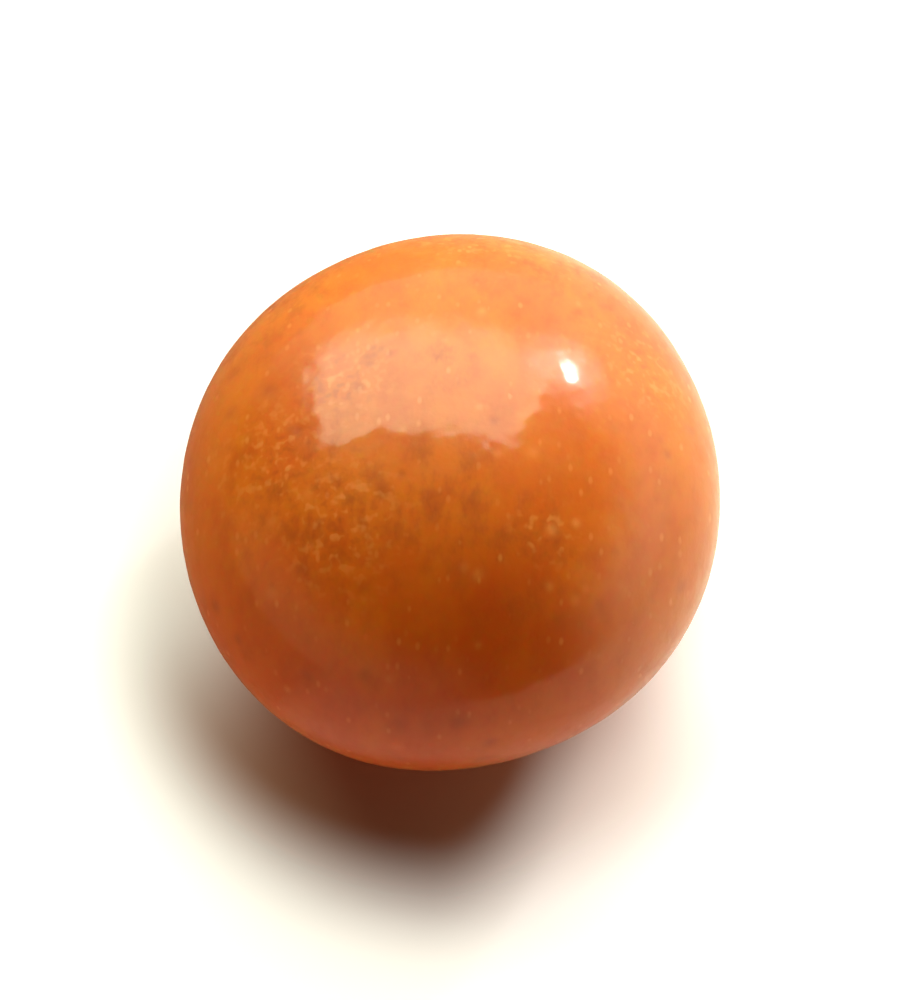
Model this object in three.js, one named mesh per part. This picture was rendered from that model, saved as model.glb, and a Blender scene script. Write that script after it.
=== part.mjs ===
/**
 * A sugar-panned fruit chew: an oblate sweet the size of a thumbnail, with
 * two shallow domes, a full rounded rim and the slight swells and flats that
 * tumbling in the pan leaves. It is one solid and rests on a small flat foot.
 *
 * Millimetres, +Z up. The origin is on the surface it rests on, under the
 * middle of its bounding box, and -Y is its front.
 */
import * as THREE from 'three';
import { mergeVertices } from 'three/addons/utils/BufferGeometryUtils.js';

// Driving dimensions
const WIDTH = 17.5;
const DEPTH = 18.3;
const UPPER_DOME = 6.45;
const LOWER_DOME = 6.35;
const FOOT_DIAMETER = 4.6;

// How far the shoulders, half way from rim to pole, draw in from a true ellipse
const SHOULDER_PULL = 0.008;

// Swells (rise above 0) and pressed flats (rise below 0) of the outline.
// The azimuth turns from +X towards +Y, and the elevation is above the rim.
const SWELLS = [
  { azimuth: 232, elevation: -11, spread: 24, rise: 0.14 },
  { azimuth: 289, elevation: -13, spread: 21, rise: -0.26 },
  { azimuth: 57, elevation: 12, spread: 22, rise: 0.21 },
  { azimuth: 113, elevation: 12, spread: 18, rise: -0.06 },
  { azimuth: 335, elevation: -6, spread: 20, rise: -0.07 },
];

// Long, low waves of the coat, spread over all directions by the golden angle
const WAVE_COUNT = 9;
const WAVE_LENGTH = 5.5;
const WAVE_HEIGHT = 0.003;
const WAVE_RADIUS = 8;

// Facets: each of the icosahedron's edges is divided into one more than this
const FACET_DETAIL = 18;

const COAT_COLOR = 0xe8822e;
const COAT_ROUGHNESS = 0.32;

const GOLDEN_ANGLE = Math.PI * (3 - Math.sqrt(5));

/** The unit vector at an azimuth and an elevation in degrees. */
function directionAt(azimuth, elevation) {
  const polar = THREE.MathUtils.degToRad(90 - elevation);
  const turn = THREE.MathUtils.degToRad(azimuth);
  return new THREE.Vector3(
    Math.sin(polar) * Math.cos(turn),
    Math.sin(polar) * Math.sin(turn),
    Math.cos(polar),
  );
}

/**
 * Distance from the middle to the ellipsoid in a direction, with the
 * shoulders pulled in by a sine squared of twice the latitude.
 */
function domeRadius(direction) {
  const dome = direction.z < 0 ? LOWER_DOME : UPPER_DOME;
  const radius = 1 / Math.hypot(
    direction.x / (WIDTH / 2),
    direction.y / (DEPTH / 2),
    direction.z / dome,
  );
  const latitude = Math.asin(THREE.MathUtils.clamp(direction.z, -1, 1));
  return radius * (1 - SHOULDER_PULL * Math.sin(2 * latitude) ** 2);
}

/** Height of all swells in a direction, each a Gaussian of the angle to its middle. */
function swellHeight(direction) {
  let height = 0;
  for (const swell of SWELLS) {
    const angle = direction.angleTo(directionAt(swell.azimuth, swell.elevation));
    const spread = THREE.MathUtils.degToRad(swell.spread);
    height += swell.rise * Math.exp(-0.5 * (angle / spread) ** 2);
  }
  return height;
}

/** Height of the coat's waves: plane sine waves whose axes follow a golden spiral. */
function waveHeight(direction) {
  const turnsPerRadius = (2 * Math.PI * WAVE_RADIUS) / WAVE_LENGTH;
  let height = 0;
  for (let i = 0; i < WAVE_COUNT; i += 1) {
    const lift = 1 - (i + 0.5) / WAVE_COUNT;
    const reach = Math.sqrt(1 - lift * lift);
    const turn = i * GOLDEN_ANGLE;
    const along = direction.x * reach * Math.cos(turn)
      + direction.y * reach * Math.sin(turn)
      + direction.z * lift;
    height += Math.sin(turnsPerRadius * along + turn);
  }
  return WAVE_HEIGHT * height;
}

/** Level of the foot: where the lower dome is as wide as the foot. */
function footLevel() {
  const share = FOOT_DIAMETER / ((WIDTH + DEPTH) / 2);
  return -LOWER_DOME * Math.sqrt(1 - share * share);
}

/** The closed skin of the chew, with the foot pressed flat and set on z = 0. */
function chewGeometry() {
  const ball = new THREE.IcosahedronGeometry(1, FACET_DETAIL);
  ball.deleteAttribute('normal');
  ball.deleteAttribute('uv');
  const skin = mergeVertices(ball);
  const places = skin.getAttribute('position');
  const foot = footLevel();
  const direction = new THREE.Vector3();
  const place = new THREE.Vector3();
  for (let i = 0; i < places.count; i += 1) {
    direction.fromBufferAttribute(places, i).normalize();
    const radius = domeRadius(direction) + swellHeight(direction) + waveHeight(direction);
    place.copy(direction).multiplyScalar(radius);
    place.z = Math.max(place.z, foot);
    places.setXYZ(i, place.x, place.y, place.z);
  }
  skin.computeBoundingBox();
  const middle = skin.boundingBox.getCenter(new THREE.Vector3());
  skin.translate(-middle.x, -middle.y, -foot);
  skin.computeVertexNormals();
  return skin;
}

/** The hard sugar coat: orange, glossy, a little rough. */
function coatMaterial() {
  return new THREE.MeshStandardMaterial({
    color: COAT_COLOR,
    roughness: COAT_ROUGHNESS,
    metalness: 0,
  });
}

const chew = new THREE.Mesh(chewGeometry(), coatMaterial());
chew.name = 'fruit_chew';

const part = new THREE.Group();
part.add(chew);

export default part;
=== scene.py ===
"""A sugar-panned fruit chew: the mottled, polished orange sweet over its solid, and a pale table.

Metres, +Z up, in the solid's own frame. -Y is the front.
"""

import math

import bpy
import numpy as np
from bpy.props import FloatProperty, FloatVectorProperty, IntProperty, PointerProperty
from bpy.types import Operator, Panel, PropertyGroup
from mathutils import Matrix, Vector


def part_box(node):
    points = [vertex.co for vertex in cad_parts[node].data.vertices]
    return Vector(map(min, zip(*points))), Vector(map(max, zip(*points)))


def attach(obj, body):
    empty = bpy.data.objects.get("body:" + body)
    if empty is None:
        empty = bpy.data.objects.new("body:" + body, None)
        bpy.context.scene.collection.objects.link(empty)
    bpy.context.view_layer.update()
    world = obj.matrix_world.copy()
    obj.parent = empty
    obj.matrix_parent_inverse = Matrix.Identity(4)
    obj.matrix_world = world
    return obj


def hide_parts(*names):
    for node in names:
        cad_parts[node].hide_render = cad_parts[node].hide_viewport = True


bl_info = {
    "name": "Fruit Chew",
    "version": (1, 0, 0),
    "blender": (4, 5, 0),
    "location": "View3D > Sidebar > Fruit Chew",
    "description": "A sugar-panned fruit chew with a mottled, polished coat, on a pale table",
    "category": "Add Mesh",
}

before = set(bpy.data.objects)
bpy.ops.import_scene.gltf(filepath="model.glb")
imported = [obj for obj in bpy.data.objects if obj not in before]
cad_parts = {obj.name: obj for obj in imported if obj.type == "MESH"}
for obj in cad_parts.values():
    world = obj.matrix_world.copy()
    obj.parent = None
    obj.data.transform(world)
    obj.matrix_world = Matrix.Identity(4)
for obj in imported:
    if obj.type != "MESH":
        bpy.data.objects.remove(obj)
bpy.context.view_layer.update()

CHEW_NODE = "fruit_chew"
BODY = "root"

MM = 0.001
GOLDEN_ANGLE = math.pi * (3 - math.sqrt(5))

# Mean distance from the chew's middle to its coat, which turns lengths along the coat into angles
MEAN_RADIUS = 8 * MM

# Swells (rise above 0) and pressed flats (rise below 0) of the outline:
# azimuth from +X towards +Y, elevation above the rim and spread in degrees, rise in metres
SWELLS = (
    (232, -11, 24, 0.14 * MM),
    (289, -13, 21, -0.26 * MM),
    (57, 12, 22, 0.21 * MM),
    (113, 12, 18, -0.06 * MM),
    (335, -6, 20, -0.07 * MM),
)

# Where the coat is grainy: azimuth, elevation and spread in degrees
GRAINY_AREAS = (
    (-172, 42, 10),
    (-140, 50, 11),
    (157, 55, 8),
    (-50, 50, 5),
    (25, 30, 8),
    (80, 15, 12),
)

# Where the coat is strongly mottled, in the same way
MOTTLED_AREAS = (
    (-100, 66, 16),
    (-65, 52, 15),
    (-150, 46, 18),
    (62, 25, 20),
    (135, 12, 18),
    (5, -15, 18),
    (92, 72, 7),
)

# Where the coat turns deep orange, in the same way. The first area, in front below the top, is painted
# shade where the light falls off; the others deepen the colour below the rim
DEEP_COLOR_AND_SHADE_AREAS = (
    (-74, 42, 14),
    (165, -12, 20),
    (45, -8, 18),
    (122, -5, 14),
)

# Single grains that stand out: azimuth and elevation in degrees
LONE_GRAINS = ((-38, 46), (-47, 49), (-126, 9))

# A short wrinkle in the coat: azimuths and elevations in degrees of the pits that make it up
WRINKLE = ((139, 60), (137, 58), (134, 59), (131, 57), (129, 59), (127, 62))
WRINKLE_RADIUS = 0.14 * MM

# Smallest and largest of the scattered pits and grains: radii in metres, and depths and heights as
# shares of the full ones. A pit's depth is the square of its share, so most pits are shallow.
PIT_RADII = (0.11 * MM, 0.24 * MM)
PIT_SHARES = (0.25, 1.0)
GRAIN_RADII = (0.06 * MM, 0.15 * MM)
GRAIN_SHARES = (0.1, 0.6)

# A pit or grain is followed out to this many of its radii
SPOT_REACH = 4

# Shares of the pebbled relief's layers, each half the size of the one before
PEBBLE_LAYERS = (1.0, 0.6, 0.3)

# Odd factors that scatter the noise's lattice places and its seed over the whole numbers
PLACE_FACTORS = (73856093, 19349663, 83492791)
SEED_FACTOR = 2654435761
FOLD_FACTOR = 1274126177

# Values of a noise, or distances in a cell, at which a pattern starts and is complete
CLOUD_RAMP = (0.38, 0.64)
MOTTLE_RAMP = (0.38, 0.82)
SPECKLE_RAMP = (0.34, 0.08)
SPECKLE_CHOICE = (0.55, 0.95)
PALE_GRIT_RAMP = (0.52, 0.74)
DARK_GRIT_RAMP = (0.48, 0.26)

# Places of a Mix node's colour sockets, which come after those for numbers and vectors
MIX_FIRST, MIX_SECOND, MIX_RESULT = 6, 7, 2

# Sides of the table and of the horizon: middle as an azimuth in degrees from +X towards +Y, and the
# cosines of the angle from it at which the side starts and is complete
# The contact side holds the painted contact shadow, the warm and dim sides the painted shade of the
# table where the coat sees it, and the open side the nearer painted glow
CONTACT_SHADOW_SIDE = (265, 0.2, 0.9)
PAINTED_FRONT_SHADE_SIDE = (245, -0.1, 0.7)
PAINTED_LEFT_SHADE_SIDE = (150, 0.0, 0.8)
OPEN_SIDE = (332, 0.4, 0.95)
WARM_HORIZON_SIDE = (225, 0.35, 0.90)
BRIGHT_HORIZON_SIDE = (50, -0.2, 0.8)

# Distances in metres from the table's middle at which the painted contact shadow or a painted glow
# starts and is complete
CONTACT_SHADOW_RAMP = (12.5 * MM, 9 * MM)
FAR_GLOW_RAMP = (9 * MM, 14 * MM)
NEAR_GLOW_RAMP = (20 * MM, 10 * MM)

# How much nearer the painted far glow comes on the open side, shortening the table's shadow there, in
# metres
OPEN_REACH = 4 * MM

# Share of the painted far glow that the polish mirrors, and of the painted near glow after a ray's first
# bounce
MIRRORED_SHARE = 0.4
LATER_SHARE = 0.2

# How far and how strongly the table's faint clouds shade it
TABLE_CLOUD_SIZE = 60 * MM
TABLE_CLOUD_SHARE = 0.15
TABLE_CLOUD_SHADE = 0.97

# Heights, as sines of the elevation, between which the light from the horizon fades out
HORIZON_RAMP = (0.25, 0.68)

# How far the lights stand from the chew, in metres
LIGHT_DISTANCE = 0.6
HALO_DISTANCE = 0.61

# Azimuth from +X towards +Y and elevation of the large lights, in degrees, and the softbox's turn
# about its own beam
SOFTBOX_PLACE = (100, 44)
SOFTBOX_TURN = -18
SIDE_LIGHT_PLACE = (50, 25)

# Shares of the softbox's height, from below, and of its width, at one end, over which it fades out
SOFTBOX_FADE = (0.38, 0.10)

BLACK = (0, 0, 0)
WHITE = (1, 1, 1)

# The photograph's frame, in pixels, for the camera's field of view alone
IMAGE_WIDTH = 900
IMAGE_HEIGHT = 1000


class ChewShape(PropertyGroup):
    """Sizes of the chew and of its coat's relief."""

    width: FloatProperty(
        name="Width", description="Across the rim from left to right",
        default=17.5 * MM, unit="LENGTH")
    depth: FloatProperty(
        name="Depth", description="Across the rim from front to back",
        default=18.3 * MM, unit="LENGTH")
    upper_dome: FloatProperty(
        name="Upper dome", description="From the rim's plane to the top",
        default=6.45 * MM, unit="LENGTH")
    lower_dome: FloatProperty(
        name="Lower dome", description="From the rim's plane to the bottom, before the foot is pressed",
        default=6.35 * MM, unit="LENGTH")
    foot_diameter: FloatProperty(
        name="Foot", description="Across the flat that it rests on",
        default=4.6 * MM, unit="LENGTH")
    shoulder_pull: FloatProperty(
        name="Shoulder pull", description="Share by which the shoulders draw in from a true ellipse",
        default=0.008, subtype="FACTOR")
    wave_count: IntProperty(
        name="Waves", description="How many long waves run through the coat", default=9)
    wave_length: FloatProperty(
        name="Wave length", description="From crest to crest of the coat's long waves",
        default=5.5 * MM, unit="LENGTH")
    wave_height: FloatProperty(
        name="Wave height", description="Height of each long wave",
        default=0.003 * MM, unit="LENGTH")
    pebble_size: FloatProperty(
        name="Pebble size", description="Cell of the coat's pebbled relief",
        default=0.75 * MM, unit="LENGTH")
    pebble_height: FloatProperty(
        name="Pebble height", description="Height of the coat's pebbled relief",
        default=0.007 * MM, unit="LENGTH")
    pit_count: IntProperty(
        name="Pits", description="How many shallow pits the coat has", default=170)
    pit_depth: FloatProperty(
        name="Pit depth", description="Depth of the deepest pit",
        default=0.014 * MM, unit="LENGTH")
    grain_count: IntProperty(
        name="Grains", description="How many sugar grains are scattered over the coat", default=90)
    grain_height: FloatProperty(
        name="Grain height", description="Height of the highest sugar grain under the polish",
        default=0.016 * MM, unit="LENGTH")
    divisions: IntProperty(
        name="Divisions", description="Squares along each side of the six patches of the skin",
        default=128)
    seed: IntProperty(name="Seed", description="Start of the random draws", default=7)


class CoatLook(PropertyGroup):
    """Colours and finish of the sugar coat."""

    body: FloatVectorProperty(
        name="Body", description="Main orange of the coat",
        default=(0.67, 0.145, 0.002), subtype="COLOR", size=3)
    amber: FloatVectorProperty(
        name="Amber", description="Lighter clouds, where the colour is thin",
        default=(0.75, 0.220, 0.003), subtype="COLOR", size=3)
    # Deep orange: painted shade in front below the top, and deeper colour below the rim
    deep_and_shade: FloatVectorProperty(
        name="Deep", description="Deep orange, where the colour lies thickest",
        default=(0.50, 0.055, 0.001), subtype="COLOR", size=3)
    rust: FloatVectorProperty(
        name="Rust", description="Darker mottles, pits and grit",
        default=(0.44, 0.085, 0.001), subtype="COLOR", size=3)
    sugar: FloatVectorProperty(
        name="Sugar", description="Pale specks and grains of bare sugar",
        default=(0.94, 0.42, 0.10), subtype="COLOR", size=3)
    cloud_size: FloatProperty(
        name="Cloud size", description="Size of the light and dark clouds",
        default=2.6 * MM, unit="LENGTH")
    cloud_share: FloatProperty(
        name="Cloud share", description="How far the clouds turn the body amber",
        default=0.55, subtype="FACTOR")
    # Share of the deep orange: painted shade in front below the top, and deeper colour below the rim
    deep_and_shade_share: FloatProperty(
        name="Deep share", description="How far the colour deepens where it lies thickest",
        default=0.6, subtype="FACTOR")
    mottle_size: FloatProperty(
        name="Mottle size", description="Size of the mottles",
        default=0.8 * MM, unit="LENGTH")
    mottle_share: FloatProperty(
        name="Mottle share", description="How far the mottles turn the coat to rust",
        default=0.92, subtype="FACTOR")
    calm_share: FloatProperty(
        name="Calm share", description="Strength of the mottles outside the strongly mottled areas",
        default=0.25, subtype="FACTOR")
    mottle_squeeze: FloatVectorProperty(
        name="Mottle squeeze", description="How closely the mottles lie along each axis",
        default=(1.3, 0.75, 0.75), subtype="XYZ", size=3)
    speckle_size: FloatProperty(
        name="Speckle size", description="Distance between the fine speckles",
        default=0.42 * MM, unit="LENGTH")
    speckle_share: FloatProperty(
        name="Speckle share", description="How far the speckles show the sugar",
        default=0.30, subtype="FACTOR")
    pit_share: FloatProperty(
        name="Pit share", description="How far the pits turn the coat to rust",
        default=0.55, subtype="FACTOR")
    grit_size: FloatProperty(
        name="Grit size", description="Size of the grit where the coat is grainy",
        default=0.34 * MM, unit="LENGTH")
    dark_grit_share: FloatProperty(
        name="Dark grit share", description="How far the dark grit turns the coat to rust",
        default=0.45, subtype="FACTOR")
    grain_share: FloatProperty(
        name="Grain share", description="How far the grains and the pale grit show the sugar",
        default=0.42, subtype="FACTOR")
    roughness: FloatProperty(
        name="Roughness", description="Roughness of the sugar under the polish",
        default=0.45, subtype="FACTOR")
    mottle_roughness: FloatProperty(
        name="Mottle roughness", description="What the mottles add to the roughness of the sugar",
        default=0.10, subtype="FACTOR")
    relief_size: FloatProperty(
        name="Relief size", description="Size of the finest relief of the sugar",
        default=0.16 * MM, unit="LENGTH")
    relief_depth: FloatProperty(
        name="Relief depth", description="Depth of the finest relief of the sugar",
        default=0.02 * MM, unit="LENGTH")
    relief_strength: FloatProperty(
        name="Relief strength", description="How strongly the finest relief bends the light",
        default=0.25, subtype="FACTOR")
    shine: FloatProperty(
        name="Shine", description="Strength of the sugar's own reflection under the polish",
        default=0.3, subtype="FACTOR")
    translucency: FloatProperty(
        name="Translucency", description="Share of the light that passes through the sugar",
        default=0.9, subtype="FACTOR")
    glow_reach: FloatProperty(
        name="Glow reach", description="How far light spreads inside the sugar",
        default=10 * MM, unit="LENGTH")
    glow_color: FloatVectorProperty(
        name="Glow colour", description="How far red, green and blue spread, as shares of the reach",
        default=(1.0, 0.15, 0.05), subtype="COLOR", size=3)
    polish: FloatProperty(
        name="Polish", description="Strength of the clear polish", default=0.8, subtype="FACTOR")
    polish_roughness: FloatProperty(
        name="Polish roughness", description="Roughness of the polish",
        default=0.12, subtype="FACTOR")


class StageLook(PropertyGroup):
    """The table, the lights and the camera."""

    table: FloatVectorProperty(
        name="Table", description="Colour of the table",
        default=(1.0, 0.93, 1.0), subtype="COLOR", size=3)
    # Painted contact shadow: the dark, warm colour the camera sees on the table right in front of the
    # chew
    painted_contact_shadow: FloatVectorProperty(
        name="Contact table", description="Colour of the table right in front of the chew, warmed by it",
        default=(0.48, 0.24, 0.16), subtype="COLOR", size=3)
    bounce_table: FloatVectorProperty(
        name="Bounce table", description="Colour of the table as the chew's coat sees it",
        default=(0.86, 0.79, 0.68), subtype="COLOR", size=3)
    # Painted shade: the table in front of the chew, darker and warmer where the coat sees it
    painted_front_shade: FloatVectorProperty(
        name="Warm table", description="Colour of the table in front of the chew, as its coat sees it",
        default=(0.52, 0.32, 0.20), subtype="COLOR", size=3)
    # Painted shade: the table to the left of the chew, dark where the coat sees it
    painted_left_shade: FloatVectorProperty(
        name="Dim table", description="Colour of the table to the left of the chew, as its coat sees it",
        default=(0.40, 0.18, 0.10), subtype="COLOR", size=3)
    # Painted glow: light the table gives off away from the chew, lightening its shadow, though the table
    # is no lamp
    painted_far_glow: FloatVectorProperty(
        name="Far glow", description="Light that has spread inside the table, away from the chew",
        default=(0.60, 0.56, 0.50), subtype="COLOR", size=3)
    # Painted glow: light the table gives off close to the chew onto the coat's lower half, though the
    # table is no lamp
    painted_near_glow: FloatVectorProperty(
        name="Near glow", description="Light from the table close to the chew onto its lower half",
        default=(0.76, 0.31, 0.10), subtype="COLOR", size=3)
    camera_elevation: FloatProperty(
        name="Camera elevation", description="Angle of the camera above the table",
        default=math.radians(65), subtype="ANGLE")
    camera_distance: FloatProperty(
        name="Camera distance", description="From the chew's middle to the camera",
        default=0.42, unit="LENGTH")
    frame_share: FloatProperty(
        name="Frame share", description="The chew's width as a share of the picture's width",
        default=0.60, subtype="FACTOR")
    lamp_azimuth: FloatProperty(
        name="Lamp azimuth", description="Direction of the small lamp, from +X towards +Y",
        default=math.radians(52), subtype="ANGLE")
    lamp_elevation: FloatProperty(
        name="Lamp elevation", description="Height of the small lamp above the table",
        default=math.radians(31), subtype="ANGLE")
    lamp_size: FloatProperty(
        name="Lamp size", description="Across the small lamp", default=0.042, unit="LENGTH")
    lamp_power: FloatProperty(
        name="Lamp power", description="Power of the small lamp", default=0.4, unit="POWER")
    lamp_color: FloatVectorProperty(
        name="Lamp colour", description="Colour of the small lamp",
        default=(1, 0.98, 0.95), subtype="COLOR", size=3)
    halo_size: FloatProperty(
        name="Halo size", description="Across the glow around the small lamp",
        default=0.34, unit="LENGTH")
    halo_power: FloatProperty(
        name="Halo power", description="Power of the glow around the small lamp",
        default=1.6, unit="POWER")
    halo_color: FloatVectorProperty(
        name="Halo colour", description="Colour of the glow around the small lamp",
        default=(1, 0.98, 0.9), subtype="COLOR", size=3)
    softbox_width: FloatProperty(
        name="Softbox width", description="Width of the large softbox", default=0.80, unit="LENGTH")
    softbox_height: FloatProperty(
        name="Softbox height", description="Height of the large softbox", default=0.52, unit="LENGTH")
    softbox_power: FloatProperty(
        name="Softbox power", description="Power of the large softbox", default=6.4, unit="POWER")
    softbox_color: FloatVectorProperty(
        name="Softbox colour", description="Colour of the large softbox",
        default=(0.90, 1, 0.76), subtype="COLOR", size=3)
    side_width: FloatProperty(
        name="Side light width", description="Width of the low light at the right",
        default=0.50, unit="LENGTH")
    side_height: FloatProperty(
        name="Side light height", description="Height of the low light at the right",
        default=0.40, unit="LENGTH")
    side_power: FloatProperty(
        name="Side light power", description="Power of the low light at the right",
        default=1.35, unit="POWER")
    side_color: FloatVectorProperty(
        name="Side light colour", description="Colour of the low light at the right",
        default=(1, 0.97, 0.82), subtype="COLOR", size=3)
    warm_horizon: FloatVectorProperty(
        name="Warm horizon", description="Colour of the light from low down at the left",
        default=(0.72, 0.43, 0.25), subtype="COLOR", size=3)
    bright_horizon: FloatVectorProperty(
        name="Bright horizon", description="Colour of the light from low down at the right",
        default=(1.35, 1.65, 1.28), subtype="COLOR", size=3)
    backdrop: FloatVectorProperty(
        name="Backdrop", description="Colour behind the table, as the camera sees it",
        default=(0.9, 0.89, 0.88), subtype="COLOR", size=3)


def unit_direction(azimuth, elevation):
    """The unit vector at an azimuth and an elevation in degrees."""
    turn = math.radians(azimuth)
    lift = math.radians(elevation)
    return np.array([
        math.cos(lift) * math.cos(turn),
        math.cos(lift) * math.sin(turn),
        math.sin(lift),
    ])


def cube_sphere(divisions):
    """Unit directions and squares of a ball made of six square patches.

    On each patch two parameters run over a grid in equal angles. The grid is laid on a cube's face by
    the tangent of the angle, and the cube's points are divided by their length. The points that
    patches share along the cube's edges are merged by their whole-number places on the cube.
    """
    steps = np.arange(divisions + 1)
    across, along = np.meshgrid(steps, steps, indexing="ij")
    places = []
    for axis in range(3):
        for side in (0, divisions):
            place = np.empty(across.shape + (3,), dtype=np.int64)
            place[..., axis] = side
            place[..., (axis + 1) % 3] = across if side else along
            place[..., (axis + 2) % 3] = along if side else across
            places.append(place)
    lattice = np.stack(places)
    row = divisions + 1
    keys = (lattice[..., 0] * row + lattice[..., 1]) * row + lattice[..., 2]
    unique_keys, number = np.unique(keys.ravel(), return_inverse=True)
    number = number.reshape(keys.shape)
    squares = np.stack([
        number[:, :-1, :-1], number[:, 1:, :-1], number[:, 1:, 1:], number[:, :-1, 1:],
    ], axis=-1).reshape(-1, 4)
    whole = np.stack([unique_keys // (row * row), unique_keys // row % row, unique_keys % row], axis=-1)
    cube = np.tan((2 * whole / divisions - 1) * math.pi / 4)
    return cube / np.linalg.norm(cube, axis=1, keepdims=True), squares


def dome_radius(directions, shape):
    """Distance from the middle to the ellipsoid, with the shoulders pulled in.

    The distance is one over the length of the direction divided by the half sizes, and the
    shoulders shrink it by a share times the sine squared of twice the latitude.
    """
    dome = np.where(directions[:, 2] < 0, shape.lower_dome, shape.upper_dome)
    half = np.stack([
        np.full(len(dome), shape.width / 2), np.full(len(dome), shape.depth / 2), dome,
    ], axis=-1)
    latitude = np.arcsin(np.clip(directions[:, 2], -1, 1))
    pull = 1 - shape.shoulder_pull * np.sin(2 * latitude) ** 2
    return pull / np.linalg.norm(directions / half, axis=1)


def bump_over_angle(directions, middle, spread):
    """1 at a middle direction, falling off as a Gaussian of the angle from it, in radians."""
    angle = np.arccos(np.clip(directions @ middle, -1, 1))
    return np.exp(-0.5 * (angle / spread) ** 2)


def swell_height(directions):
    """Sum of all swells and flats, each its rise times a Gaussian of the angle to its middle."""
    height = np.zeros(len(directions))
    for azimuth, elevation, spread, rise in SWELLS:
        middle = unit_direction(azimuth, elevation)
        height += rise * bump_over_angle(directions, middle, math.radians(spread))
    return height


def wave_height(directions, shape):
    """Sum of plane sine waves through the ball, whose axes follow a golden spiral."""
    turns = 2 * math.pi * MEAN_RADIUS / shape.wave_length
    height = np.zeros(len(directions))
    for i in range(shape.wave_count):
        lift = 1 - (i + 0.5) / shape.wave_count
        reach = math.sqrt(1 - lift * lift)
        turn = i * GOLDEN_ANGLE
        axis = np.array([reach * math.cos(turn), reach * math.sin(turn), lift])
        height += np.sin(turns * (directions @ axis) + turn)
    return shape.wave_height * height


def lattice_noise(points, size, seed):
    """Smooth noise from -1 to 1: random values on a cubic lattice, blended by a quintic fade.

    Each lattice corner's value comes from its whole-number place: the place times odd factors is
    folded onto itself twice, and the last 16 bits are kept.
    """
    scaled = points / size
    corner = np.floor(scaled).astype(np.int64)
    part = scaled - corner
    fade = part ** 3 * (part * (part * 6 - 15) + 10)
    total = np.zeros(len(points))
    for step in np.ndindex(2, 2, 2):
        scattered = (corner + np.array(step)) * np.array(PLACE_FACTORS)
        mixed = scattered[:, 0] ^ scattered[:, 1] ^ scattered[:, 2] ^ (seed * SEED_FACTOR)
        mixed = (mixed ^ (mixed >> 13)) * FOLD_FACTOR & 0xFFFFFFFF
        mixed = (mixed ^ (mixed >> 16)) & 0xFFFF
        share = np.prod(np.where(step, fade, 1 - fade), axis=1)
        total += share * (mixed / 0x7FFF - 1)
    return total


def pebble_height(points, shape):
    """Relief of the polished coat: layers of smooth noise, each half the size of the last."""
    height = np.zeros(len(points))
    for layer, share in enumerate(PEBBLE_LAYERS):
        height += share * lattice_noise(points, shape.pebble_size / 2 ** layer, shape.seed + layer)
    return shape.pebble_height * height


def scattered_directions(draw, count):
    """Random unit directions, spread evenly over the ball."""
    loose = draw.normal(size=(count, 3))
    return loose / np.linalg.norm(loose, axis=1, keepdims=True)


def spots(directions, middles, radii, heights):
    """The highest of many Gaussian spots at each direction, each with its own radius and height."""
    cover = np.zeros(len(directions))
    for middle, radius, height in zip(middles, radii, heights):
        near = np.flatnonzero(directions @ middle > math.cos(SPOT_REACH * radius / MEAN_RADIUS))
        bump = height * bump_over_angle(directions[near], middle, radius / MEAN_RADIUS)
        cover[near] = np.maximum(cover[near], bump)
    return cover


def pit_cover(directions, shape, draw):
    """0 on sound coat and up to 1 in the pits, scattered ones and those of the wrinkle."""
    middles = scattered_directions(draw, shape.pit_count)
    radii = draw.uniform(*PIT_RADII, shape.pit_count)
    depths = draw.uniform(*PIT_SHARES, shape.pit_count) ** 2
    scattered = spots(directions, middles, radii, depths)
    wrinkle = [unit_direction(*place) for place in WRINKLE]
    even = np.ones(len(wrinkle))
    return np.maximum(scattered, spots(directions, wrinkle, WRINKLE_RADIUS * even, even))


def grain_cover(directions, shape, draw):
    """0 on smooth coat and up to 1 on the sugar grains, scattered ones and the few that stand out."""
    lone = np.array([unit_direction(*place) for place in LONE_GRAINS])
    middles = np.concatenate([scattered_directions(draw, shape.grain_count), lone])
    radii = draw.uniform(*GRAIN_RADII, len(middles))
    heights = draw.uniform(*GRAIN_SHARES, len(middles))
    heights[shape.grain_count:] = 1
    return spots(directions, middles, radii, heights)


def area_cover(directions, areas):
    """0 outside some areas and up to 1 in the middle of each: the highest of their Gaussians."""
    cover = np.zeros(len(directions))
    for azimuth, elevation, spread in areas:
        middle = unit_direction(azimuth, elevation)
        cover = np.maximum(cover, bump_over_angle(directions, middle, math.radians(spread)))
    return cover


def mesh_from_arrays(name, points, squares):
    """A mesh object from arrays of points and of four-cornered faces, smooth shaded."""
    mesh = bpy.data.meshes.new(name)
    mesh.from_pydata(points, [], squares)
    mesh.shade_smooth()
    mesh.update()
    piece = bpy.data.objects.new(name, mesh)
    bpy.context.scene.collection.objects.link(piece)
    return piece


def store_mask(piece, name, values):
    """Keeps one number for each point of a piece, for its material to read."""
    mask = piece.data.attributes.new(name, "FLOAT", "POINT")
    mask.data.foreach_set("value", values.astype(np.float32))


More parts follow.
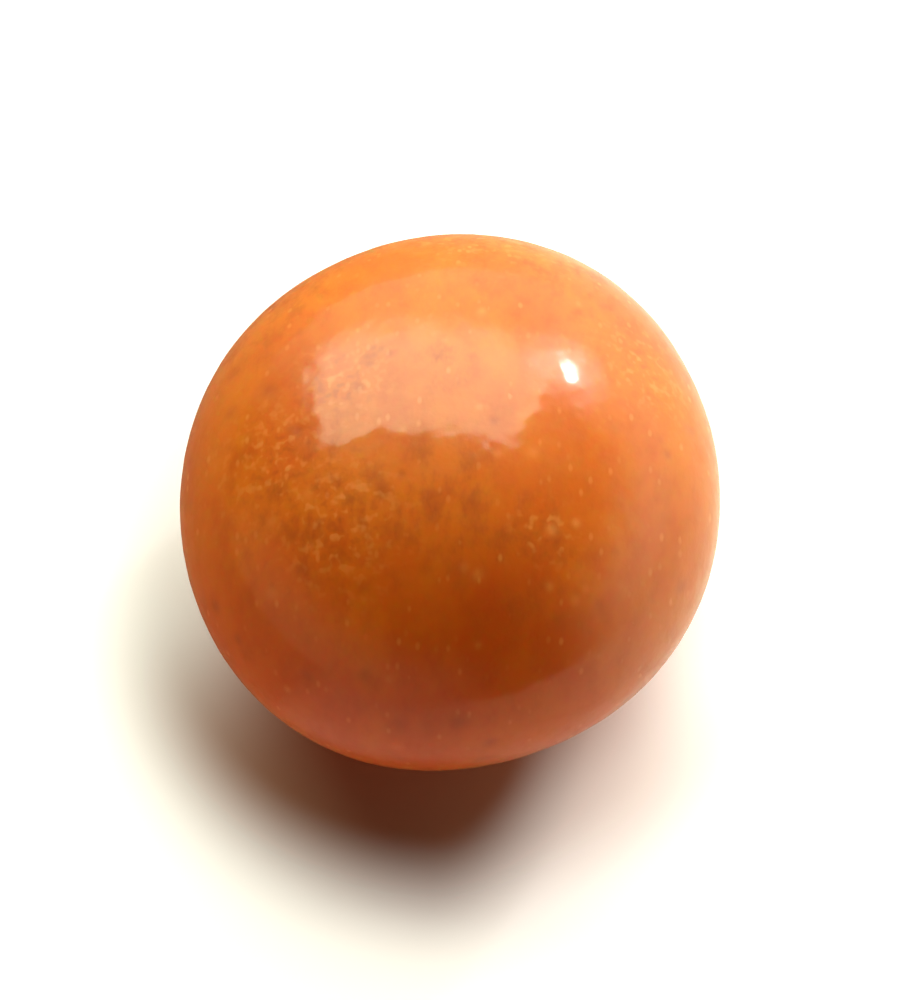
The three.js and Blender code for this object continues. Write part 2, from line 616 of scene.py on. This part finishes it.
def make_chew(shape):
    """The chew's skin: the solid's form, with pebbling, pits and grains, and its foot pressed flat."""
    directions, squares = cube_sphere(shape.divisions)
    radius = dome_radius(directions, shape) + swell_height(directions) + wave_height(directions, shape)
    smooth = directions * radius[:, None]
    foot_share = shape.foot_diameter / ((shape.width + shape.depth) / 2)
    foot = -shape.lower_dome * math.sqrt(1 - foot_share ** 2)

    draw = np.random.default_rng(shape.seed)
    pits = pit_cover(directions, shape, draw)
    grains = grain_cover(directions, shape, draw)
    relief = pebble_height(smooth, shape) - shape.pit_depth * pits + shape.grain_height * grains
    points = directions * (radius + relief)[:, None]
    points[:, 2] = np.maximum(points[:, 2], foot)

    low, high = (np.array(corner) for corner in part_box(CHEW_NODE))
    middle = (smooth.min(axis=0) + smooth.max(axis=0)) / 2
    points += [(low[0] + high[0]) / 2 - middle[0], (low[1] + high[1]) / 2 - middle[1], low[2] - foot]

    piece = mesh_from_arrays("chew_sugar_coat", points, squares)
    store_mask(piece, "pits", pits)
    store_mask(piece, "grains", grains)
    store_mask(piece, "grainy", area_cover(directions, GRAINY_AREAS))
    store_mask(piece, "mottled", area_cover(directions, MOTTLED_AREAS))
    # Deep orange areas; the front one is painted shade
    store_mask(piece, "deep_and_shade", area_cover(directions, DEEP_COLOR_AND_SHADE_AREAS))
    return piece


def add_node(tree, kind, place, **settings):
    """A shader node at a place in the tree, with its plain settings."""
    node = tree.nodes.new(kind)
    node.location = place
    for name, value in settings.items():
        setattr(node, name, value)
    return node


def feed(tree, value, socket):
    """Gives a socket its value: another socket to link, or a plain one."""
    if isinstance(value, bpy.types.NodeSocket):
        tree.links.new(value, socket)
    else:
        socket.default_value = value


def math_node(tree, place, operation, first, second, clamp=False):
    """A Math node; each operand is a socket to link or a number."""
    node = add_node(tree, "ShaderNodeMath", place, operation=operation, use_clamp=clamp)
    feed(tree, first, node.inputs[0])
    feed(tree, second, node.inputs[1])
    return node.outputs[0]


def vector_node(tree, place, operation, first, second=None):
    """A Vector Math node; the first operand is a socket, and the second, if any, plain numbers."""
    node = add_node(tree, "ShaderNodeVectorMath", place, operation=operation)
    tree.links.new(first, node.inputs[0])
    if second is not None:
        node.inputs[1].default_value = second
    return node


def ramp_node(tree, place, value, low, high):
    """A value stretched so that low becomes 0 and high becomes 1, eased at both ends."""
    node = add_node(tree, "ShaderNodeMapRange", place, interpolation_type="SMOOTHSTEP")
    tree.links.new(value, node.inputs["Value"])
    node.inputs["From Min"].default_value = low
    node.inputs["From Max"].default_value = high
    return node.outputs["Result"]


def mix_color(tree, place, share, first, second):
    """A colour mix by a share; each colour is a socket to link or three numbers."""
    node = add_node(tree, "ShaderNodeMix", place, data_type="RGBA")
    tree.links.new(share, node.inputs["Factor"])
    for number, color in ((MIX_FIRST, first), (MIX_SECOND, second)):
        plain = not isinstance(color, bpy.types.NodeSocket)
        feed(tree, (*color, 1) if plain else color, node.inputs[number])
    return node.outputs[MIX_RESULT]


def noise_node(tree, place, vector, scale, detail, roughness=0.5):
    """A noise texture's value; the scale is a socket or a number."""
    node = add_node(tree, "ShaderNodeTexNoise", place)
    tree.links.new(vector, node.inputs["Vector"])
    feed(tree, scale, node.inputs["Scale"])
    node.inputs["Detail"].default_value = detail
    node.inputs["Roughness"].default_value = roughness
    return node.outputs["Fac"]


def mottle_group():
    """Clouds, mottles and speckles, for any surface that is mottled, as one shader node group."""
    name = "Mottling"
    if name in bpy.data.node_groups:
        return bpy.data.node_groups[name]
    tree = bpy.data.node_groups.new(name, "ShaderNodeTree")
    tree.interface.new_socket("Vector", in_out="INPUT", socket_type="NodeSocketVector")
    sizes = {"Cloud Size": 2 * MM, "Mottle Size": 0.5 * MM, "Speckle Size": 0.3 * MM}
    for socket_name, size in sizes.items():
        socket = tree.interface.new_socket(socket_name, in_out="INPUT", socket_type="NodeSocketFloat")
        socket.default_value = size
    for socket_name in ("Clouds", "Mottles", "Speckles"):
        tree.interface.new_socket(socket_name, in_out="OUTPUT", socket_type="NodeSocketFloat")
    entry = add_node(tree, "NodeGroupInput", (-900, 0))
    leave = add_node(tree, "NodeGroupOutput", (500, 0))

    cloud_scale = math_node(tree, (-650, 250), "DIVIDE", 1.0, entry.outputs["Cloud Size"])
    clouds = noise_node(tree, (-400, 250), entry.outputs["Vector"], cloud_scale, 3, 0.55)
    tree.links.new(ramp_node(tree, (-100, 250), clouds, *CLOUD_RAMP), leave.inputs["Clouds"])

    mottle_scale = math_node(tree, (-650, 0), "DIVIDE", 1.0, entry.outputs["Mottle Size"])
    mottles = noise_node(tree, (-400, 0), entry.outputs["Vector"], mottle_scale, 3, 0.6)
    tree.links.new(ramp_node(tree, (-100, 0), mottles, *MOTTLE_RAMP), leave.inputs["Mottles"])

    speckle_scale = math_node(tree, (-650, -250), "DIVIDE", 1.0, entry.outputs["Speckle Size"])
    cells = add_node(tree, "ShaderNodeTexVoronoi", (-400, -250), feature="F1")
    tree.links.new(entry.outputs["Vector"], cells.inputs["Vector"])
    tree.links.new(speckle_scale, cells.inputs["Scale"])
    near = ramp_node(tree, (-100, -250), cells.outputs["Distance"], *SPECKLE_RAMP)
    separate = add_node(tree, "ShaderNodeSeparateColor", (-100, -450))
    tree.links.new(cells.outputs["Color"], separate.inputs["Color"])
    chosen = ramp_node(tree, (100, -450), separate.outputs["Red"], *SPECKLE_CHOICE)
    tree.links.new(math_node(tree, (300, -300), "MULTIPLY", near, chosen), leave.inputs["Speckles"])
    return tree


def new_material(name):
    """An empty node material, with its Principled shader and its output."""
    material = bpy.data.materials.new(name)
    material.use_nodes = True
    tree = material.node_tree
    tree.nodes.clear()
    output = add_node(tree, "ShaderNodeOutputMaterial", (1200, 0))
    shader = add_node(tree, "ShaderNodeBsdfPrincipled", (900, 0))
    tree.links.new(shader.outputs["BSDF"], output.inputs["Surface"])
    return material, tree, shader


def place_mottling(tree, place, sizes, squeeze=(1, 1, 1)):
    """The mottling group on Object coordinates that are squeezed along each axis, with its sizes."""
    coordinates = add_node(tree, "ShaderNodeTexCoord", (place[0] - 400, place[1])).outputs["Object"]
    squeezed = vector_node(tree, (place[0] - 200, place[1]), "MULTIPLY", coordinates, squeeze)
    group = add_node(tree, "ShaderNodeGroup", place, node_tree=mottle_group())
    tree.links.new(squeezed.outputs["Vector"], group.inputs["Vector"])
    for name, size in sizes.items():
        group.inputs[name].default_value = size
    return coordinates, group


def stored_mask(tree, place, name):
    """One of the masks that a piece keeps for its material."""
    return add_node(tree, "ShaderNodeAttribute", place, attribute_name=name).outputs["Fac"]


def grit_masks(tree, look, vector):
    """Pale and dark grit, the highs and lows of one noise, where the coat is grainy."""
    grit = noise_node(tree, (-1100, -500), vector, 1 / look.grit_size, 1)
    grainy = stored_mask(tree, (-1100, -800), "grainy")
    pale = ramp_node(tree, (-900, -500), grit, *PALE_GRIT_RAMP)
    dark = ramp_node(tree, (-900, -700), grit, *DARK_GRIT_RAMP)
    return (
        math_node(tree, (-700, -500), "MULTIPLY", pale, grainy),
        math_node(tree, (-700, -700), "MULTIPLY", dark, grainy),
    )


def coat_color(tree, look, mottling, pale_grit, dark_grit):
    """The coat's colour: the body under layers, each its own colour by a share of its mask."""
    mottled = stored_mask(tree, (-1100, 600), "mottled")
    mottled = math_node(tree, (-900, 600), "MAXIMUM", mottled, look.calm_share)
    mottles = math_node(tree, (-700, 600), "MULTIPLY", mottling.outputs["Mottles"], mottled)
    grains = stored_mask(tree, (-700, -100), "grains")
    grains = math_node(tree, (-500, -100), "MAXIMUM", grains, pale_grit)
    layers = (
        (mottling.outputs["Clouds"], look.cloud_share, look.amber),
        # Deep orange, painted shade in front below the top
        (stored_mask(tree, (-700, 800), "deep_and_shade"), look.deep_and_shade_share, look.deep_and_shade),
        (mottles, look.mottle_share, look.rust),
        (mottling.outputs["Speckles"], look.speckle_share, look.sugar),
        (stored_mask(tree, (-700, 100), "pits"), look.pit_share, look.rust),
        (dark_grit, look.dark_grit_share, look.rust),
        (grains, look.grain_share, look.sugar),
    )
    color = look.body
    for number, (mask, share, layer_color) in enumerate(layers):
        across = 170 * number - 450
        cover = math_node(tree, (across, 250), "MULTIPLY", mask, share)
        color = mix_color(tree, (across + 80, 450), cover, color, layer_color)
    return color


def coat_relief(tree, look, vector, mottles, pale_grit):
    """Bent light over the finest relief: a fine noise, with the mottles and the pale grit raised."""
    fine = noise_node(tree, (-400, -300), vector, 1 / look.relief_size, 2)
    height = math_node(tree, (0, -300), "ADD", fine, mottles)
    height = math_node(tree, (200, -300), "ADD", height, pale_grit)
    bump = add_node(tree, "ShaderNodeBump", (400, -300))
    bump.inputs["Strength"].default_value = look.relief_strength
    bump.inputs["Distance"].default_value = look.relief_depth
    tree.links.new(height, bump.inputs["Height"])
    return bump.outputs["Normal"]


def coat_material(look):
    """Hard orange sugar: a mottled body under a clear polish, translucent at its edges."""
    sugar_index = 1.5
    material, tree, shader = new_material("Orange Sugar Coat")
    vector, mottling = place_mottling(tree, (-900, 200), {
        "Cloud Size": look.cloud_size,
        "Mottle Size": look.mottle_size,
        "Speckle Size": look.speckle_size,
    }, look.mottle_squeeze)
    mottles = mottling.outputs["Mottles"]
    pale_grit, dark_grit = grit_masks(tree, look, vector)
    tree.links.new(coat_color(tree, look, mottling, pale_grit, dark_grit), shader.inputs["Base Color"])
    rough = math_node(tree, (400, 100), "MULTIPLY", mottles, look.mottle_roughness)
    tree.links.new(math_node(tree, (600, 100), "ADD", rough, look.roughness), shader.inputs["Roughness"])
    tree.links.new(coat_relief(tree, look, vector, mottles, pale_grit), shader.inputs["Normal"])

    shader.inputs["IOR"].default_value = sugar_index
    shader.inputs["Specular IOR Level"].default_value = look.shine
    shader.inputs["Subsurface Weight"].default_value = look.translucency
    shader.inputs["Subsurface Radius"].default_value = look.glow_color
    shader.inputs["Subsurface Scale"].default_value = look.glow_reach
    shader.inputs["Coat Weight"].default_value = look.polish
    shader.inputs["Coat Roughness"].default_value = look.polish_roughness
    shader.inputs["Coat IOR"].default_value = sugar_index
    return material


def side_mask(tree, place, vector, side):
    """0 to 1 as a direction turns towards a side: the cosine between them, eased from start to end."""
    azimuth, low, high = side
    outwards = vector_node(tree, place, "NORMALIZE", vector).outputs["Vector"]
    towards = vector_node(
        tree, (place[0] + 200, place[1]), "DOT_PRODUCT", outwards, unit_direction(azimuth, 0))
    return ramp_node(tree, (place[0] + 400, place[1]), towards.outputs["Value"], low, high)


def seen_table_with_painted_shadow(tree, look, vector, distance, clouds):
    """What the camera sees of the table: pale, faintly clouded, and darkened right in front of the chew
    by a painted contact shadow.
    """
    cloud_share = math_node(tree, (0, 0), "MULTIPLY", clouds, TABLE_CLOUD_SHARE)
    shade = [channel * TABLE_CLOUD_SHADE for channel in look.table]
    clouded = mix_color(tree, (200, 0), cloud_share, look.table, shade)
    # Painted contact shadow: close to the chew at the front, the table turns to the contact colour
    close = ramp_node(tree, (0, 200), distance, *CONTACT_SHADOW_RAMP)
    front = side_mask(tree, (-600, 200), vector, CONTACT_SHADOW_SIDE)
    contact = math_node(tree, (200, 200), "MULTIPLY", close, front)
    return mix_color(tree, (400, 100), contact, clouded, look.painted_contact_shadow)


def table_bounce(tree, look, vector, dim):
    """What the coat sees of the table: painted shade, warmer in front and dimmer at the left."""
    front = side_mask(tree, (-600, -300), vector, PAINTED_FRONT_SHADE_SIDE)
    # Painted shade in front of the chew
    warmed = mix_color(tree, (100, -300), front, look.bounce_table, look.painted_front_shade)
    # Painted shade at the left of the chew
    return mix_color(tree, (300, -300), dim, warmed, look.painted_left_shade)


def table_glow(tree, look, vector, distance, dim, path):
    """Painted glow on the table, which is no lamp: a far glow that lightens its shadow away from the
    chew, for the camera and the polish, and a near glow that lights the coat's lower half.

    The far glow comes nearer to the chew on the open side, and the polish mirrors a share of it,
    less on the dim side. The near glow counts in full at a ray's first bounce alone.
    """
    # Painted far glow: the table lightens away from the chew, for the camera and the polish
    opened = math_node(
        tree, (-200, 500), "MULTIPLY", side_mask(tree, (-800, 500), vector, OPEN_SIDE), OPEN_REACH)
    away = math_node(tree, (-100, 400), "ADD", opened, distance)
    far = ramp_node(tree, (0, 400), away, *FAR_GLOW_RAMP)
    mirrored = math_node(tree, (100, 600), "SUBTRACT", MIRRORED_SHARE, dim, clamp=True)
    mirrored = math_node(tree, (300, 600), "MULTIPLY", path.outputs["Is Glossy Ray"], mirrored)
    seen = math_node(tree, (450, 600), "MAXIMUM", path.outputs["Is Camera Ray"], mirrored)
    far_share = math_node(tree, (550, 500), "MULTIPLY", far, seen)

    # Painted near glow, lighting the coat's lower half
    near = ramp_node(tree, (0, 900), distance, *NEAR_GLOW_RAMP)
    on_coat = math_node(tree, (200, 900), "MULTIPLY", near, path.outputs["Is Diffuse Ray"])
    first_bounce = ramp_node(tree, (0, 1100), path.outputs["Ray Depth"], 2, 1)
    bounce_share = math_node(tree, (200, 1100), "MAXIMUM", first_bounce, LATER_SHARE)
    near_share = math_node(tree, (400, 900), "MULTIPLY", on_coat, bounce_share)
    near_light = mix_color(tree, (600, 800), near_share, BLACK, look.painted_near_glow)
    return mix_color(tree, (700, 400), far_share, near_light, look.painted_far_glow)


def table_material(look):
    """Pale table, which the camera and the coat each see in their own tints, with a painted contact
    shadow, painted shade and a painted glow.
    """
    material, tree, shader = new_material("Pale Table")
    vector, mottling = place_mottling(tree, (-300, 0), {"Cloud Size": TABLE_CLOUD_SIZE})
    path = add_node(tree, "ShaderNodeLightPath", (-300, 700))
    distance = vector_node(tree, (-300, 400), "LENGTH", vector).outputs["Value"]
    # Dim side: where the coat sees the table in painted shade, and the polish mirrors less of the
    # painted glow
    dim = side_mask(tree, (-600, -500), vector, PAINTED_LEFT_SHADE_SIDE)

    tint = seen_table_with_painted_shadow(tree, look, vector, distance, mottling.outputs["Clouds"])
    bounce = table_bounce(tree, look, vector, dim)
    # The camera sees the table with its painted contact shadow; the coat sees it in painted shade
    color = mix_color(tree, (700, 0), path.outputs["Is Camera Ray"], bounce, tint)
    tree.links.new(color, shader.inputs["Base Color"])
    glow = table_glow(tree, look, vector, distance, dim, path)
    tree.links.new(glow, shader.inputs["Emission Color"])
    shader.inputs["Emission Strength"].default_value = 1
    shader.inputs["Roughness"].default_value = 0.6
    shader.inputs["Specular IOR Level"].default_value = 0.3
    return material


def make_table(radius):
    """A flat round table top at z = 0: rings of points about the origin, out to the radius."""
    ring_count = 6
    spoke_count = 48
    inner_share = 0.02
    rings = np.linspace(inner_share, 1, ring_count) * radius
    turns = np.arange(spoke_count) * 2 * math.pi / spoke_count
    points = np.zeros((ring_count, spoke_count, 3))
    points[..., 0] = rings[:, None] * np.cos(turns)
    points[..., 1] = rings[:, None] * np.sin(turns)
    number = np.arange(ring_count * spoke_count).reshape(ring_count, spoke_count)
    following = np.roll(number, -1, axis=1)
    bands = np.stack([number[:-1], number[1:], following[1:], following[:-1]], axis=-1)
    faces = bands.reshape(-1, 4).tolist() + [number[0].tolist()]
    return mesh_from_arrays("table_top", points.reshape(-1, 3), faces)


def light_from(name, direction, distance, size, power, color, shape="RECTANGLE"):
    """An area light that looks at the origin from a direction; the camera never sees it itself."""
    data = bpy.data.lights.new(name, "AREA")
    data.shape = shape
    data.size, data.size_y = size
    data.energy = power
    data.color = color
    light = bpy.data.objects.new(name, data)
    light.location = Vector(direction) * distance
    light.rotation_euler = Vector(direction).to_track_quat("Z", "Y").to_euler()
    light.visible_camera = False
    bpy.context.scene.collection.objects.link(light)
    return light


def light_tree(light):
    """A light's cleared node tree, its emission, and the place on its face from 0 to 1 each way."""
    light.data.use_nodes = True
    tree = light.data.node_tree
    tree.nodes.clear()
    output = add_node(tree, "ShaderNodeOutputLight", (600, 0))
    emission = add_node(tree, "ShaderNodeEmission", (400, 0))
    tree.links.new(emission.outputs["Emission"], output.inputs["Surface"])
    return tree, emission, add_node(tree, "ShaderNodeNewGeometry", (-600, 0)).outputs["Parametric"]


def fade_edges(light, low, end):
    """Lets a light fade out over a share of its height from below, and of its width at one end."""
    tree, emission, place = light_tree(light)
    parts = add_node(tree, "ShaderNodeSeparateXYZ", (-400, 0))
    tree.links.new(place, parts.inputs["Vector"])
    upwards = ramp_node(tree, (-200, 100), parts.outputs["Y"], 0.0, low)
    inwards = ramp_node(tree, (-200, -100), parts.outputs["X"], 1.0, 1.0 - end)
    share = math_node(tree, (0, 0), "MULTIPLY", upwards, inwards)
    tree.links.new(mix_color(tree, (200, 0), share, BLACK, WHITE), emission.inputs["Color"])


def fade_round(light):
    """Lets a round light fade out from its middle to its edge."""
    tree, emission, place = light_tree(light)
    away = vector_node(tree, (-400, 0), "DISTANCE", place, (0.5, 0.5, 0))
    share = ramp_node(tree, (-200, 0), away.outputs["Value"], 0.5, 0.0)
    tree.links.new(mix_color(tree, (200, 0), share, BLACK, WHITE), emission.inputs["Color"])


def make_lights(look):
    """The small lamp and its round glow, the softbox behind, and the low light at the right.

    The low light warms the coat without a reflection of its own.
    """
    lamp = unit_direction(math.degrees(look.lamp_azimuth), math.degrees(look.lamp_elevation))
    light_from(
        "Lamp", lamp, LIGHT_DISTANCE, (look.lamp_size, look.lamp_size), look.lamp_power,
        look.lamp_color, "ELLIPSE")
    halo = light_from(
        "Lamp Halo", lamp, HALO_DISTANCE, (look.halo_size, look.halo_size), look.halo_power,
        look.halo_color, "ELLIPSE")
    fade_round(halo)
    softbox = light_from(
        "Softbox", unit_direction(*SOFTBOX_PLACE), LIGHT_DISTANCE,
        (look.softbox_width, look.softbox_height), look.softbox_power, look.softbox_color)
    softbox.rotation_euler.rotate_axis("Z", math.radians(SOFTBOX_TURN))
    fade_edges(softbox, *SOFTBOX_FADE)
    side = light_from(
        "Side Light", unit_direction(*SIDE_LIGHT_PLACE), LIGHT_DISTANCE,
        (look.side_width, look.side_height), look.side_power, look.side_color)
    side.visible_glossy = False


def make_world(look):
    """Light from low down, warm at the left and bright at the right, under a dark room.

    The camera sees a pale backdrop.
    """
    world = bpy.data.worlds.new("Room")
    world.use_nodes = True
    tree = world.node_tree
    tree.nodes.clear()
    output = add_node(tree, "ShaderNodeOutputWorld", (400, 0))
    choose = add_node(tree, "ShaderNodeMixShader", (200, 0))
    path = add_node(tree, "ShaderNodeLightPath", (0, 200))
    direction = add_node(tree, "ShaderNodeTexCoord", (-1200, 0)).outputs["Generated"]
    parts = add_node(tree, "ShaderNodeSeparateXYZ", (-900, 200))
    tree.links.new(direction, parts.inputs["Vector"])
    height = ramp_node(tree, (-400, 200), parts.outputs["Z"], *HORIZON_RAMP)
    warm_side = side_mask(tree, (-1000, -200), direction, WARM_HORIZON_SIDE)
    bright_side = side_mask(tree, (-1000, 0), direction, BRIGHT_HORIZON_SIDE)
    horizon = mix_color(tree, (-600, 0), warm_side, BLACK, look.warm_horizon)
    horizon = mix_color(tree, (-400, 0), bright_side, horizon, look.bright_horizon)
    around = add_node(tree, "ShaderNodeBackground", (0, 0))
    tree.links.new(mix_color(tree, (-200, 0), height, horizon, BLACK), around.inputs["Color"])
    seen = add_node(tree, "ShaderNodeBackground", (0, -150))
    seen.inputs["Color"].default_value = (*look.backdrop, 1)
    tree.links.new(path.outputs["Is Camera Ray"], choose.inputs["Fac"])
    tree.links.new(around.outputs["Background"], choose.inputs[1])
    tree.links.new(seen.outputs["Background"], choose.inputs[2])
    tree.links.new(choose.outputs["Shader"], output.inputs["Surface"])
    bpy.context.scene.world = world


def make_camera(look, width, target):
    """A long lens at the photograph's height, framed so that the chew takes its share of the width."""
    data = bpy.data.cameras.new("Camera")
    data.sensor_fit = "VERTICAL"
    data.sensor_height = 36
    picture_height = width / look.frame_share * IMAGE_HEIGHT / IMAGE_WIDTH
    data.lens = data.sensor_height * look.camera_distance / picture_height
    data.clip_start = 0.01
    camera = bpy.data.objects.new("Camera", data)
    back = Vector((0, -math.cos(look.camera_elevation), math.sin(look.camera_elevation)))
    camera.location = target + back * look.camera_distance
    camera.rotation_euler = back.to_track_quat("Z", "Y").to_euler()
    bpy.context.scene.collection.objects.link(camera)
    bpy.context.scene.camera = camera


class FRUITCHEW_OT_chew(Operator):
    """Makes the chew with its sugar coat, in place of its plain solid"""

    bl_idname = "fruitchew.chew"
    bl_label = "Fruit Chew"
    bl_options = {"REGISTER", "UNDO"}

    def execute(self, context):
        piece = make_chew(context.scene.chew_shape)
        piece.data.materials.append(coat_material(context.scene.coat_look))
        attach(piece, BODY)
        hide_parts(CHEW_NODE)
        return {"FINISHED"}


class FRUITCHEW_OT_stage(Operator):
    """Makes the pale table, the lights, the room and the camera"""

    bl_idname = "fruitchew.stage"
    bl_label = "Stage"
    bl_options = {"REGISTER", "UNDO"}

    def execute(self, context):
        look = context.scene.stage_look
        table = make_table(radius=1.5)
        table.data.materials.append(table_material(look))
        make_lights(look)
        make_world(look)
        low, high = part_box(CHEW_NODE)
        make_camera(look, high.x - low.x, (low + high) / 2)
        context.scene.view_settings.view_transform = "Standard"
        return {"FINISHED"}


class FRUITCHEW_PT_panel(Panel):
    """Lists the chew's sizes, its colours and the stage"""

    bl_idname = "FRUITCHEW_PT_panel"
    bl_label = "Fruit Chew"
    bl_space_type = "VIEW_3D"
    bl_region_type = "UI"
    bl_category = "Fruit Chew"

    def draw(self, context):
        layout = self.layout
        for operator, settings in (
            (FRUITCHEW_OT_chew, (context.scene.chew_shape, context.scene.coat_look)),
            (FRUITCHEW_OT_stage, (context.scene.stage_look,)),
        ):
            layout.operator(operator.bl_idname)
            for group in settings:
                for name in group.__annotations__:
                    layout.prop(group, name)


CLASSES = (ChewShape, CoatLook, StageLook, FRUITCHEW_OT_chew, FRUITCHEW_OT_stage, FRUITCHEW_PT_panel)


def register():
    """Registers the classes and puts their settings on the scene."""
    for item in CLASSES:
        bpy.utils.register_class(item)
    bpy.types.Scene.chew_shape = PointerProperty(type=ChewShape)
    bpy.types.Scene.coat_look = PointerProperty(type=CoatLook)
    bpy.types.Scene.stage_look = PointerProperty(type=StageLook)


def unregister():
    """Takes the settings and the classes away again."""
    del bpy.types.Scene.stage_look
    del bpy.types.Scene.coat_look
    del bpy.types.Scene.chew_shape
    for item in reversed(CLASSES):
        bpy.utils.unregister_class(item)


def main():
    """Makes everything in order: the chew with its coat, and the stage."""
    register()
    bpy.ops.fruitchew.chew()
    bpy.ops.fruitchew.stage()


if __name__ == "__main__":
    main()
